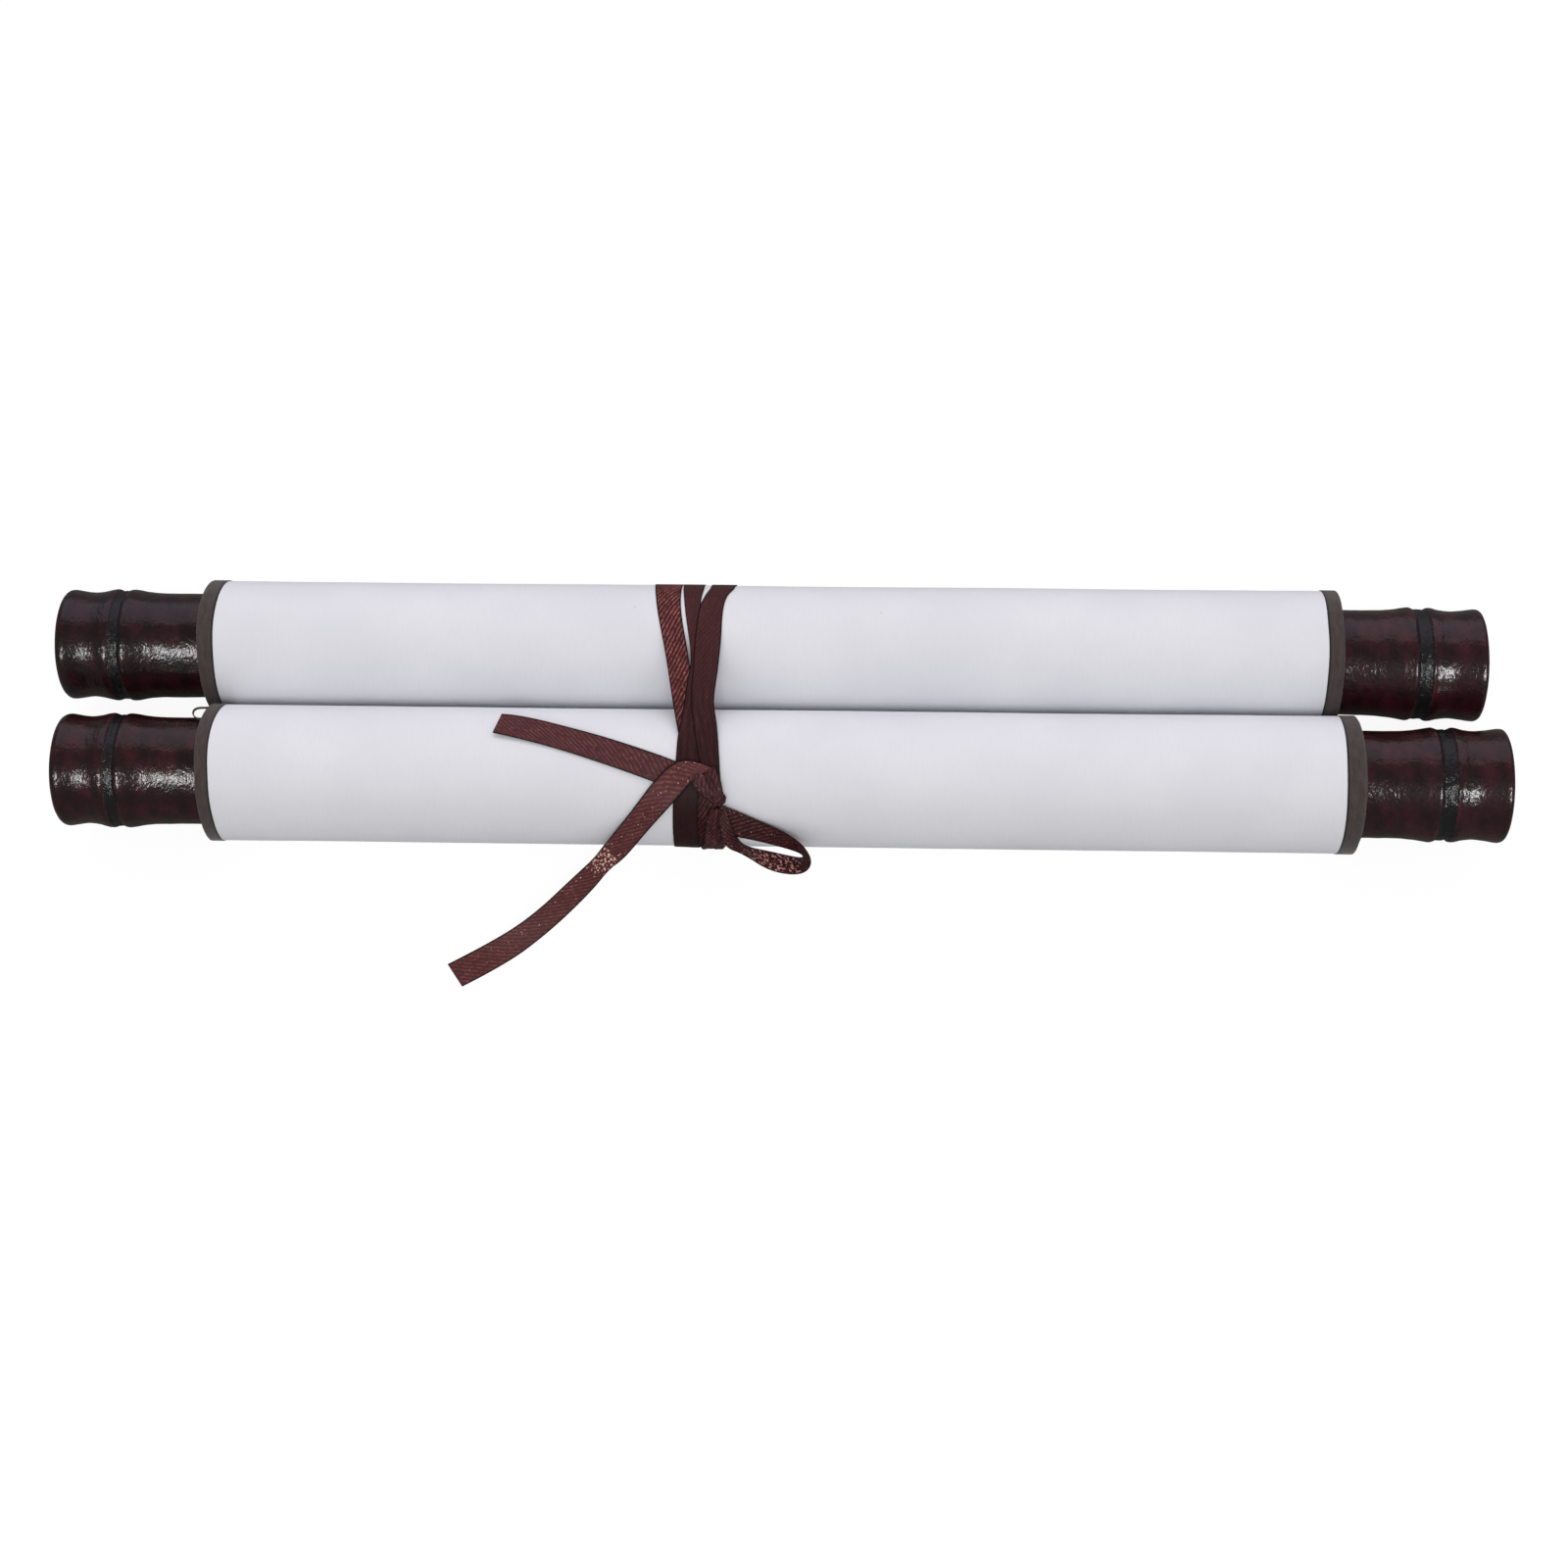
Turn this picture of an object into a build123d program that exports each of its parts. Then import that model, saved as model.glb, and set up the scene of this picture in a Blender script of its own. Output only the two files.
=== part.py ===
from build123d import *

import math
import os

# A blank two-roller scroll, tied up with a ribbon, lying on a flat surface. Millimetres.
# +X runs along the rolls, -Y is the side the bow hangs over, +Z is up. The origin is on the surface
# that the scroll lies on, under the middle of its two rods.

# The sheet: backing cloth and writing paper pasted together, wound up from both of its ends
SHEET_WIDTH = 300.0
SHEET_THICKNESS = 0.5
HALF_TURNS = 6
FRONT_SLACK = 0.7
BACK_SLACK = 0.57
ROLL_GAP = 0.5
BACK_SHIFT = -3.0
PASTE_GAP = 0.1

# The edge tape: a strip folded over each long edge of the sheet, so it stands one layer proud
TAPE_WIDTH = 4.6
TAPE_LAYER = 0.25

# The rods that the sheet is wound on, and the tenons that carry the knobs
ROD_RADIUS = 14.0
TENON_RADIUS = 5.0
TENON_LENGTH = 18.0
TENON_CLEARANCE = 0.1
BORE_END_GAP = 0.5

# The knobs, turned like a joint of bamboo. Lengths are from the outer end
KNOB_LENGTH = 39.0
LIP = 0.9
RIM_RADIUS = 14.85
WAIST_RADIUS = 14.15
WAIST_AT = 7.0
RIDGE_RADIUS = 15.0
RIDGE_AT = 13.7
GROOVE_RADIUS = 14.45
GROOVE_WIDTH = 4.4
SHOULDER_RADIUS = 14.45
SHOULDER_AT = 22.0
NECK_RADIUS = 14.05
NECK_AT = 27.5

# The ribbon: three turns round both rolls, a knot, a loop and two tails
RIBBON_THICKNESS = 0.2
RIBBON_GAP = 0.05
KNOT_RADIUS = 2.4
KNOT_LENGTH = 6.0
KNOT_X = -12.8
KNOT_ANGLE = 39.0
TAIL_LEAVES_AT = 50.0
TAIL_LANDING_RADIUS = 26.0
TAIL_REACH = 74.0

# How far a cutting shape runs past what it cuts
CUT_BEYOND = 1.0

# Worked out from the sizes above
TURNS = HALF_TURNS // 2
FRONT_PITCH = SHEET_THICKNESS + FRONT_SLACK
BACK_PITCH = SHEET_THICKNESS + BACK_SLACK
WOUND_FROM = ROD_RADIUS + PASTE_GAP + SHEET_THICKNESS
FRONT_RADIUS = WOUND_FROM + TURNS * FRONT_PITCH
BACK_RADIUS = WOUND_FROM + TURNS * BACK_PITCH
RIBBON_ROOM = RIBBON_GAP + RIBBON_THICKNESS
SHEET_LIFT = max(TAPE_LAYER, RIBBON_ROOM)
TAPE_LIFT = SHEET_LIFT - TAPE_LAYER
FRONT_Z = FRONT_RADIUS + SHEET_LIFT
BACK_Z = BACK_RADIUS + SHEET_LIFT
AXIS_SPACING = FRONT_RADIUS + BACK_RADIUS + 2 * TAPE_LAYER + ROLL_GAP - (FRONT_PITCH + BACK_PITCH) / 2
DEPTH = AXIS_SPACING + FRONT_RADIUS + BACK_RADIUS + 2 * TAPE_LAYER
FRONT_Y = FRONT_RADIUS + TAPE_LAYER - DEPTH / 2
BACK_Y = DEPTH / 2 - BACK_RADIUS - TAPE_LAYER
FRONT_X = -BACK_SHIFT / 2
BACK_X = BACK_SHIFT / 2
PAPER_WIDTH = SHEET_WIDTH - 2 * TAPE_WIDTH
TAPE_THICKNESS = SHEET_THICKNESS + TAPE_LAYER


def wind(side, axis_y, lift, radius, pitch, thickness):
    """Draw the edge of one wound roll, from where it leaves the flat, as half circles of falling size.

    side is -1 for the front roll and 1 for the back one. Half circles of two centres make the spiral:
    the odd ones are centred half a pitch higher, so that each meets the last one without a kink.
    """
    for index in range(HALF_TURNS):
        centre = (axis_y, lift + radius + (pitch / 2 if index % 2 else 0))
        turn_radius = radius - index * pitch / 2
        start = -90 + side * 180 * index
        outer = CenterArc(centre, turn_radius, start, side * 180)
        inner = CenterArc(centre, turn_radius - thickness, start, side * 180)
        if index == 0:
            Line(outer @ 0, inner @ 0)
    Line(outer @ 1, inner @ 1)


def wound_strip(edge_from, width, lift, outset, thickness):
    """Build a strip that is wound up from both ends and lies flat between its two rolls.

    edge_from is where the strip starts along the rolls, from the middle of the sheet.
    """
    rolls = (
        (-1, FRONT_X, FRONT_Y, FRONT_RADIUS + outset, FRONT_PITCH),
        (1, BACK_X, BACK_Y, BACK_RADIUS + outset, BACK_PITCH),
    )
    with BuildPart() as strip:
        for side, middle_x, axis_y, radius, pitch in rolls:
            with BuildSketch(Plane.YZ.offset(middle_x + edge_from)):
                with BuildLine():
                    wind(side, axis_y, lift, radius, pitch, thickness)
                make_face()
            extrude(amount=width)
        with BuildSketch(Plane.XY.offset(lift)):
            with BuildLine():
                Polyline(
                    (FRONT_X + edge_from, FRONT_Y),
                    (FRONT_X + edge_from + width, FRONT_Y),
                    (BACK_X + edge_from + width, BACK_Y),
                    (BACK_X + edge_from, BACK_Y),
                    close=True,
                )
            make_face()
        extrude(amount=thickness)
    return strip.part


def rod(middle_x, axis_y, axis_z):
    """Build a round rod as long as the sheet is wide, with a tenon at each end."""
    with BuildPart() as turned:
        for radius, length in (
            (ROD_RADIUS, SHEET_WIDTH),
            (TENON_RADIUS, SHEET_WIDTH + 2 * TENON_LENGTH),
        ):
            with BuildSketch(Plane.YZ.offset(middle_x - length / 2)):
                with Locations((axis_y, axis_z)):
                    Circle(radius)
            extrude(amount=length)
    return turned.part


def knob(outward, middle_x, axis_y, axis_z):
    """Turn one knob, outward 1 for a right one or -1 for a left one, on the end of its rod."""
    seat = Plane(
        origin=(middle_x + outward * SHEET_WIDTH / 2, axis_y, axis_z),
        x_dir=(outward, 0, 0),
        z_dir=(0, -outward, 0),
    )
    bore_radius = TENON_RADIUS + TENON_CLEARANCE
    bore_depth = TENON_LENGTH + BORE_END_GAP
    near_ridge = RIDGE_AT + GROOVE_WIDTH
    with BuildPart() as turned:
        with BuildSketch(seat):
            with BuildLine():
                Polyline(
                    (bore_depth, 0),
                    (KNOB_LENGTH, 0),
                    (KNOB_LENGTH, RIM_RADIUS - LIP),
                    (KNOB_LENGTH - LIP, RIM_RADIUS),
                )
                Spline(
                    (KNOB_LENGTH - LIP, RIM_RADIUS),
                    (KNOB_LENGTH - WAIST_AT, WAIST_RADIUS),
                    (KNOB_LENGTH - RIDGE_AT, RIDGE_RADIUS),
                )
                Polyline(
                    (KNOB_LENGTH - RIDGE_AT, RIDGE_RADIUS),
                    (KNOB_LENGTH - (RIDGE_AT + near_ridge) / 2, GROOVE_RADIUS),
                    (KNOB_LENGTH - near_ridge, RIDGE_RADIUS),
                )
                Spline(
                    (KNOB_LENGTH - near_ridge, RIDGE_RADIUS),
                    (KNOB_LENGTH - SHOULDER_AT, SHOULDER_RADIUS),
                    (KNOB_LENGTH - NECK_AT, NECK_RADIUS),
                )
                Polyline(
                    (KNOB_LENGTH - NECK_AT, NECK_RADIUS),
                    (0, NECK_RADIUS),
                    (0, bore_radius),
                    (bore_depth, bore_radius),
                    (bore_depth, 0),
                )
            make_face()
        revolve(axis=Axis(seat.origin, seat.x_dir))
    return turned.part


def outline_round_rolls(lift):
    """Draw the tight outline round both rolls, as far off the sheet as lift says."""
    with BuildSketch() as outline:
        with Locations((FRONT_Y, FRONT_Z)):
            Circle(FRONT_RADIUS + lift)
        with Locations((BACK_Y, BACK_Z)):
            Circle(BACK_RADIUS + lift)
        make_hull()
    return outline.sketch


def taut_layer(layer):
    """Draw the section of a taut turn of ribbon, layer 0 on the sheet and layer 1 over that.

    Under the rolls it is pressed flat between the sheet and the surface.
    """
    inside = RIBBON_GAP + layer * RIBBON_THICKNESS
    ground = SHEET_LIFT - RIBBON_ROOM
    with BuildSketch() as section:
        add(outline_round_rolls(inside + RIBBON_THICKNESS))
        add(outline_round_rolls(inside) & above(ground + RIBBON_THICKNESS), mode=Mode.SUBTRACT)
        add(above(ground), mode=Mode.INTERSECT)
    return section.sketch


def above(height):
    """Draw a box round all of the section that lies above a height."""
    with BuildSketch() as upper:
        with Locations((0, height)):
            Rectangle(2 * DEPTH, DEPTH, align=(Align.CENTER, Align.MIN))
    return upper.sketch


def falling_layer():
    """Draw the section of the loose ribbon: over the front roll, off it, and down onto the surface."""
    lift = RIBBON_GAP + 2 * RIBBON_THICKNESS
    over = FRONT_RADIUS + lift
    angle = math.radians(TAIL_LEAVES_AT)
    landing = SHEET_LIFT - RIBBON_ROOM + RIBBON_THICKNESS
    drop = FRONT_Z + over * math.cos(angle) - landing - TAIL_LANDING_RADIUS * (1 - math.cos(angle))
    with BuildSketch() as section:
        with BuildLine():
            shoulder = CenterArc((FRONT_Y, FRONT_Z), over, 90, TAIL_LEAVES_AT)
            fall = PolarLine(shoulder @ 1, drop / math.sin(angle), direction=shoulder % 1)
            land = JernArc(fall @ 1, fall % 1, TAIL_LANDING_RADIUS, -TAIL_LEAVES_AT)
            Line(land @ 1, (-TAIL_REACH, landing))
            offset(amount=RIBBON_THICKNESS, side=Side.LEFT)
        make_face()
    return section.sketch


def laid(section, edges, low, high):
    """Build one stretch of ribbon: a section run along the rolls and cut to its outline in plan.

    edges is the outline in plan, as the curves to draw with their points, and low and high are its heights.
    """
    with BuildPart() as stretch:
        with BuildSketch(Plane.XY.offset(low)):
            with BuildLine():
                for draw, points in edges:
                    draw(*points)
            make_face()
        extrude(amount=high - low)
        with BuildSketch(Plane.YZ.offset(-SHEET_WIDTH / 2)):
            add(section)
        extrude(amount=SHEET_WIDTH, mode=Mode.INTERSECT)
    return stretch.part


def knot():
    """Build the knot: a short barrel on the front roll, where the turns, tails and loop meet."""
    angle = math.radians(KNOT_ANGLE)
    middle = (
        FRONT_Y - FRONT_RADIUS * math.sin(angle),
        FRONT_Z + FRONT_RADIUS * math.cos(angle),
    )
    with BuildPart() as barrel:
        with BuildSketch(Plane.YZ.offset(KNOT_X - KNOT_LENGTH / 2)):
            with Locations(middle):
                Circle(KNOT_RADIUS)
            with Locations((FRONT_Y, FRONT_Z)):
                Circle(FRONT_RADIUS + RIBBON_GAP, mode=Mode.SUBTRACT)
        extrude(amount=KNOT_LENGTH)
    return barrel.part


def write(name, *solids):
    """Write one finished piece, or a pair of like pieces, under its own name."""
    with BuildPart() as piece:
        for solid in solids:
            add(solid)
    piece.part.label = name
    export_step(piece.part, f"parts/{name}.step")


os.makedirs("parts", exist_ok=True)

# The sheet, and the tapes along its two long edges
write(
    "scroll_sheet",
    wound_strip(-PAPER_WIDTH / 2, PAPER_WIDTH, SHEET_LIFT, 0, SHEET_THICKNESS),
)
write(
    "edge_tapes",
    wound_strip(-SHEET_WIDTH / 2, TAPE_WIDTH, TAPE_LIFT, TAPE_LAYER, TAPE_THICKNESS),
    wound_strip(PAPER_WIDTH / 2, TAPE_WIDTH, TAPE_LIFT, TAPE_LAYER, TAPE_THICKNESS),
)

# The rods and the pair of knobs on each
for place, middle_x, axis_y, axis_z in (
    ("front", FRONT_X, FRONT_Y, FRONT_Z),
    ("back", BACK_X, BACK_Y, BACK_Z),
):
    write(f"rod_{place}", rod(middle_x, axis_y, axis_z))
    write(
        f"knobs_{place}",
        knob(-1, middle_x, axis_y, axis_z),
        knob(1, middle_x, axis_y, axis_z),
    )

# The turns of ribbon, each by its left and its right edge in plan, from behind the rolls to the front of
# them. Their upper and lower runs meet at the height of the rods
BEHIND = DEPTH / 2 + CUT_BEYOND
AHEAD = -BEHIND
RIBBON_TURNS = (
    (
        ((-32.0, BEHIND), (-27.8, 9.9), (-24.0, -14.0), (-24.9, AHEAD)),
        ((-24.8, BEHIND), (-21.4, 6.0), (-18.6, AHEAD)),
    ),
    (
        ((-24.2, BEHIND), (-21.2, 8.3), (-22.6, -6.5), (-21.6, AHEAD)),
        ((-18.5, BEHIND), (-17.6, -6.0), (-15.4, AHEAD)),
    ),
    (
        ((-16.8, BEHIND), (-19.6, 22.0), (-20.0, -6.0), (-18.4, AHEAD)),
        ((-10.6, BEHIND), (-13.2, 18.0), (-14.5, -3.9), (-12.0, AHEAD)),
    ),
)
SHORT_TAIL = (
    (ThreePointArc, ((-14.5, -24.0), (-45.0, -13.5), (-69.4, -8.0))),
    (Line, ((-69.4, -8.0), (-71.4, -13.5))),
    (ThreePointArc, ((-71.4, -13.5), (-46.0, -20.0), (-16.0, -30.0))),
    (Line, ((-16.0, -30.0), (-14.5, -24.0))),
)
LONG_TAIL = (
    (ThreePointArc, ((-23.9, -20.8), (-45.1, -41.5), (-84.8, -64.6))),
    (Line, ((-84.8, -64.6), (-80.6, -70.6))),
    (ThreePointArc, ((-80.6, -70.6), (-41.3, -43.6), (-13.8, -21.6))),
    (Line, ((-13.8, -21.6), (-23.9, -20.8))),
)
LOOP = (
    (ThreePointArc, ((-13.0, -29.6), (-1.0, -34.2), (8.1, -38.0))),
    (ThreePointArc, ((8.1, -38.0), (10.5, -41.9), (5.8, -44.1))),
    (ThreePointArc, ((5.8, -44.1), (-3.0, -42.0), (-13.0, -34.5))),
    (Line, ((-13.0, -34.5), (-13.0, -29.6))),
)
TOP = FRONT_Z + FRONT_RADIUS + KNOT_RADIUS

stretches = [knot()]
for left, right in RIBBON_TURNS:
    over = (Polyline, left + right[::-1] + left[:1])
    under = (Polyline, (left[0], left[-1], right[-1], right[0], left[0]))
    stretches.append(laid(taut_layer(0), (over,), FRONT_Z, TOP))
    stretches.append(laid(taut_layer(0), (under,), 0, FRONT_Z))

# The short tail lies on the front roll. The long one and the loop hang over its front
stretches.append(laid(taut_layer(1), SHORT_TAIL, FRONT_Z, TOP))
stretches.append(laid(falling_layer(), LONG_TAIL, 0, TOP))
stretches.append(laid(falling_layer(), LOOP, 0, TOP))
write("ribbon", *stretches)
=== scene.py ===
import math

import bpy
from mathutils import Matrix, Vector, noise


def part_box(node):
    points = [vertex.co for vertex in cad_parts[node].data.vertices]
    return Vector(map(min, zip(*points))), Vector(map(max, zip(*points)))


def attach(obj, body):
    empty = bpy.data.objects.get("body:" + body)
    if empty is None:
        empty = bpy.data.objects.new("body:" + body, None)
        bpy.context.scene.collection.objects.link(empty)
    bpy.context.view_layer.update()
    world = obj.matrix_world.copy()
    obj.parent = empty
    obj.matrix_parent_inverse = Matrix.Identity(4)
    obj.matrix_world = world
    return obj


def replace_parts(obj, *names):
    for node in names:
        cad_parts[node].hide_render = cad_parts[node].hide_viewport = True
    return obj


# A blank two-roller scroll, tied with a ribbon. Lengths are in millimetres until a mesh is made, and then
# metres. +X runs along the rolls, -Y is the side the bow hangs over, +Z is up.
MM = 0.001

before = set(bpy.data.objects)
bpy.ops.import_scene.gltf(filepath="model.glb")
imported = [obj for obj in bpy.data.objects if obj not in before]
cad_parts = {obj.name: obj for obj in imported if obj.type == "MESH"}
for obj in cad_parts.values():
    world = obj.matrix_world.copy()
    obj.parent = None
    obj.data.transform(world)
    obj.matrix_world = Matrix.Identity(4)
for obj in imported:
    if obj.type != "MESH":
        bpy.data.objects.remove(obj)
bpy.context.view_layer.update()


def cad_size(node):
    """The lowest corner, highest corner and middle of a CAD node, in millimetres."""
    low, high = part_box(node)
    return low / MM, high / MM, (low + high) / (2 * MM)


# Places and sizes taken from the frame
ROD_LOW, ROD_HIGH, FRONT_AXIS = cad_size("rod_front")
BACK_AXIS = cad_size("rod_back")[2]
TAPES_LOW, TAPES_HIGH, _ = cad_size("edge_tapes")
KNOBS_LOW, KNOBS_HIGH, _ = cad_size("knobs_front")
ROD_RADIUS = (ROD_HIGH.z - ROD_LOW.z) / 2
SHEET_LIFT = cad_size("scroll_sheet")[0].z
FRONT_RADIUS = FRONT_AXIS.z - SHEET_LIFT
BACK_RADIUS = BACK_AXIS.z - SHEET_LIFT
TAPE_LAYER = FRONT_AXIS.y - TAPES_LOW.y - FRONT_RADIUS
SHEET_WIDTH = (TAPES_HIGH.x - TAPES_LOW.x) - abs(FRONT_AXIS.x - BACK_AXIS.x)
KNOB_LENGTH = (KNOBS_HIGH.x - KNOBS_LOW.x - SHEET_WIDTH) / 2


def smoothstep(low, high, value):
    """0 below low, 1 above high and a smooth rise between."""
    t = min(1.0, max(0.0, (value - low) / (high - low)))
    return t * t * (3 - 2 * t)


def wander(seed, *place):
    """Smooth noise from -1 to 1 that is the same on every run."""
    x, y, z = (list(place) + [0.0, 0.0])[:3]
    return noise.noise(Vector((x + 17.3 * seed, y - 9.1 * seed, z + 5.7 * seed)))


def through(points, t):
    """A smooth curve through rows of numbers, read at t, where the first number of a row is its place."""
    if t <= points[0][0]:
        return points[0][1:]
    if t >= points[-1][0]:
        return points[-1][1:]
    index = next(i for i in range(len(points) - 1) if points[i + 1][0] >= t)
    before, start, end, after = (
        points[max(index - 1, 0)],
        points[index],
        points[index + 1],
        points[min(index + 2, len(points) - 1)],
    )
    span = end[0] - start[0]
    s = (t - start[0]) / span
    found = []
    for column in range(1, len(start)):
        leave = span * (end[column] - before[column]) / (end[0] - before[0])
        arrive = span * (after[column] - start[column]) / (after[0] - start[0])
        found.append(
            (2 * s**3 - 3 * s**2 + 1) * start[column]
            + (s**3 - 2 * s**2 + s) * leave
            + (3 * s**2 - 2 * s**3) * end[column]
            + (s**3 - s**2) * arrive
        )
    return found


def spline_points(points):
    """Points read from a NURBS spline through space, close together, in millimetres."""
    curve = bpy.data.curves.new("spline", "CURVE")
    curve.dimensions = "3D"
    curve.resolution_u = 12
    spline = curve.splines.new("NURBS")
    spline.points.add(len(points) - 1)
    for point, place in zip(spline.points, points):
        point.co = (*[value * MM for value in place], 1)
    spline.order_u = 3
    spline.use_endpoint_u = True
    carrier = bpy.data.objects.new("spline", curve)
    bpy.context.scene.collection.objects.link(carrier)
    bpy.context.view_layer.update()
    mesh = bpy.data.meshes.new_from_object(carrier)
    read = [vertex.co / MM for vertex in mesh.vertices]
    bpy.data.meshes.remove(mesh)
    bpy.data.objects.remove(carrier)
    bpy.data.curves.remove(curve)
    return read


def skin(name, grids, material):
    """One piece from grids of points in millimetres.

    A grid is (rows, places, closed). Every row has as many points as the next, places(row, column) gives a
    point's UV place in millimetres, and the rows of a closed grid are rings.
    """
    vertices, faces, face_places = [], [], []
    for rows, places, closed in grids:
        first = len(vertices)
        wide = len(rows[0])
        for row in rows:
            vertices.extend(Vector(point) * MM for point in row)
        for i in range(len(rows) - 1):
            for j in range(wide if closed else wide - 1):
                corners = [(i, j), (i, j + 1), (i + 1, j + 1), (i + 1, j)]
                faces.append([first + r * wide + c % wide for r, c in corners])
                face_places.append([places(r, c) for r, c in corners])
    mesh = bpy.data.meshes.new(name)
    mesh.from_pydata(vertices, [], faces)
    layer = mesh.uv_layers.new(name="cloth")
    for polygon, corners in zip(mesh.polygons, face_places):
        polygon.use_smooth = True
        for loop, (u, v) in zip(polygon.loop_indices, corners):
            layer.data[loop].uv = (u * MM, v * MM)
    mesh.validate()
    mesh.materials.append(material)
    piece = bpy.data.objects.new(name, mesh)
    bpy.context.scene.collection.objects.link(piece)
    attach(piece, "root")
    return piece


def new_material(name, **inputs):
    """A material with a Principled shader, whose inputs are named with _ for a space."""
    material = bpy.data.materials.new(name)
    material.use_nodes = True
    shader = material.node_tree.nodes["Principled BSDF"]
    for key, value in inputs.items():
        shader.inputs[key.replace("_", " ")].default_value = value
    return material, material.node_tree, shader


def add_node(tree, kind, inputs=None, **settings):
    """Add a shader node; an input that is a socket is linked, and any other is set."""
    made = tree.nodes.new(kind)
    for key, value in settings.items():
        setattr(made, key, value)
    for key, value in (inputs or {}).items():
        if isinstance(value, bpy.types.NodeSocket):
            tree.links.new(value, made.inputs[key])
        else:
            made.inputs[key].default_value = value
    return made


def maths(tree, operation, *values, clamp=False):
    """One Math node, given sockets or numbers."""
    inputs = dict(enumerate(values))
    return add_node(tree, "ShaderNodeMath", inputs, operation=operation, use_clamp=clamp).outputs[0]


def ramp(tree, factor, *stops):
    """A colour ramp from (place, colour) stops; a number stands for a grey."""
    made = add_node(tree, "ShaderNodeValToRGB", {"Fac": factor})
    elements = made.color_ramp.elements
    while len(elements) < len(stops):
        elements.new(0.5)
    for element, (place, colour) in zip(elements, stops):
        element.position = place
        element.color = (colour,) * 3 + (1,) if isinstance(colour, float) else (*colour, 1)
    return made.outputs["Color"]


def mix(tree, factor, first, second, blend_type="MIX"):
    """A mix of two colours, each a socket or three numbers."""
    made = tree.nodes.new("ShaderNodeMix")
    made.data_type = "RGBA"
    made.blend_type = blend_type
    for socket, value in ((0, factor), (6, first), (7, second)):
        if isinstance(value, bpy.types.NodeSocket):
            tree.links.new(value, made.inputs[socket])
        elif socket == 0:
            made.inputs[0].default_value = value
        else:
            made.inputs[socket].default_value = (*value, 1)
    return made.outputs[2]


def times(factor, colour):
    """A colour made brighter or darker."""
    return tuple(factor * value for value in colour)


def uv_place(tree, along=1.0, across=1.0):
    """The piece's UV place, counted in millimetres and stretched by two factors."""
    uv = add_node(tree, "ShaderNodeUVMap", uv_map="cloth")
    inputs = {"Vector": uv.outputs[0], "Scale": (along / MM, across / MM, 1)}
    return add_node(tree, "ShaderNodeMapping", inputs).outputs[0]


def noise_at(tree, place, scale, detail=3.0, roughness=0.5, distortion=0.0):
    """Noise with scale features to each unit of place."""
    inputs = {
        "Vector": place, "Scale": scale, "Detail": detail, "Roughness": roughness, "Distortion": distortion,
    }
    return add_node(tree, "ShaderNodeTexNoise", inputs).outputs["Fac"]


def bump(tree, height, distance, strength=1.0, under=None):
    """A bump of that many millimetres."""
    inputs = {"Height": height, "Distance": distance * MM, "Strength": strength}
    if under is not None:
        inputs["Normal"] = under
    return add_node(tree, "ShaderNodeBump", inputs).outputs[0]


def paper_material():
    """Pale paper, faintly clouded, with short fibres and a few dark specks."""
    material, tree, shader = new_material(
        "rice_paper", Roughness=0.62, Specular_IOR_Level=0.35, Sheen_Weight=0.15, Sheen_Roughness=0.5
    )
    place = uv_place(tree)
    clouds = ramp(tree, noise_at(tree, place, 0.035, 3), (0.35, 0.0), (0.65, 1.0))
    fibres = noise_at(tree, uv_place(tree, 1.0, 0.16), 1.6, 4, 0.6)
    cells = add_node(
        tree, "ShaderNodeTexVoronoi", {"Vector": place, "Scale": 0.045, "Randomness": 1.0}
    )
    speck = maths(tree, "LESS_THAN", cells.outputs["Distance"], 0.012)
    colour = mix(tree, clouds, (0.70, 0.70, 0.745), (0.74, 0.74, 0.78))
    colour = mix(tree, ramp(tree, fibres, (0.42, 0.0), (0.75, 0.22)), colour, (0.64, 0.64, 0.67))
    colour = mix(tree, maths(tree, "MULTIPLY", speck, 0.45), colour, (0.32, 0.30, 0.30))
    tree.links.new(colour, shader.inputs["Base Color"])
    grain = maths(tree, "ADD", noise_at(tree, place, 3.5, 4, 0.6), fibres)
    tree.links.new(bump(tree, grain, 0.02, 0.5), shader.inputs["Normal"])
    return material


THREAD_PITCH = 0.34


def tape_material():
    """Brown woven cloth, rubbed paler in places, with a dark line where the paper meets it."""
    material, tree, shader = new_material(
        "edge_cloth", Roughness=0.82, Specular_IOR_Level=0.3, Sheen_Weight=0.25
    )
    thread_turn = 2 * math.pi / THREAD_PITCH
    uv = add_node(tree, "ShaderNodeSeparateXYZ", {"Vector": uv_place(tree)})
    warp = maths(tree, "SINE", maths(tree, "MULTIPLY", uv.outputs[0], thread_turn))
    weft = maths(tree, "SINE", maths(tree, "MULTIPLY", uv.outputs[1], thread_turn))
    weave = maths(tree, "MULTIPLY", warp, weft)
    rubbed = noise_at(tree, uv_place(tree, 0.5, 1.6), 0.5, 5, 0.65)
    colour = ramp(
        tree, rubbed,
        (0.3, (0.040, 0.027, 0.025)), (0.62, (0.068, 0.048, 0.044)), (0.85, (0.105, 0.078, 0.072)),
    )
    colour = mix(tree, 1.0, colour, maths(tree, "MULTIPLY_ADD", weave, 0.12, 0.9), "MULTIPLY")
    inner_line = ramp(tree, uv.outputs[1], (0.5, 1.0), (0.72, 0.0))
    colour = mix(tree, inner_line, colour, (0.009, 0.007, 0.008))
    tree.links.new(colour, shader.inputs["Base Color"])
    height = maths(tree, "MULTIPLY_ADD", weave, 0.5, rubbed)
    tree.links.new(bump(tree, height, 0.06, 0.6), shader.inputs["Normal"])
    return material


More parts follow.
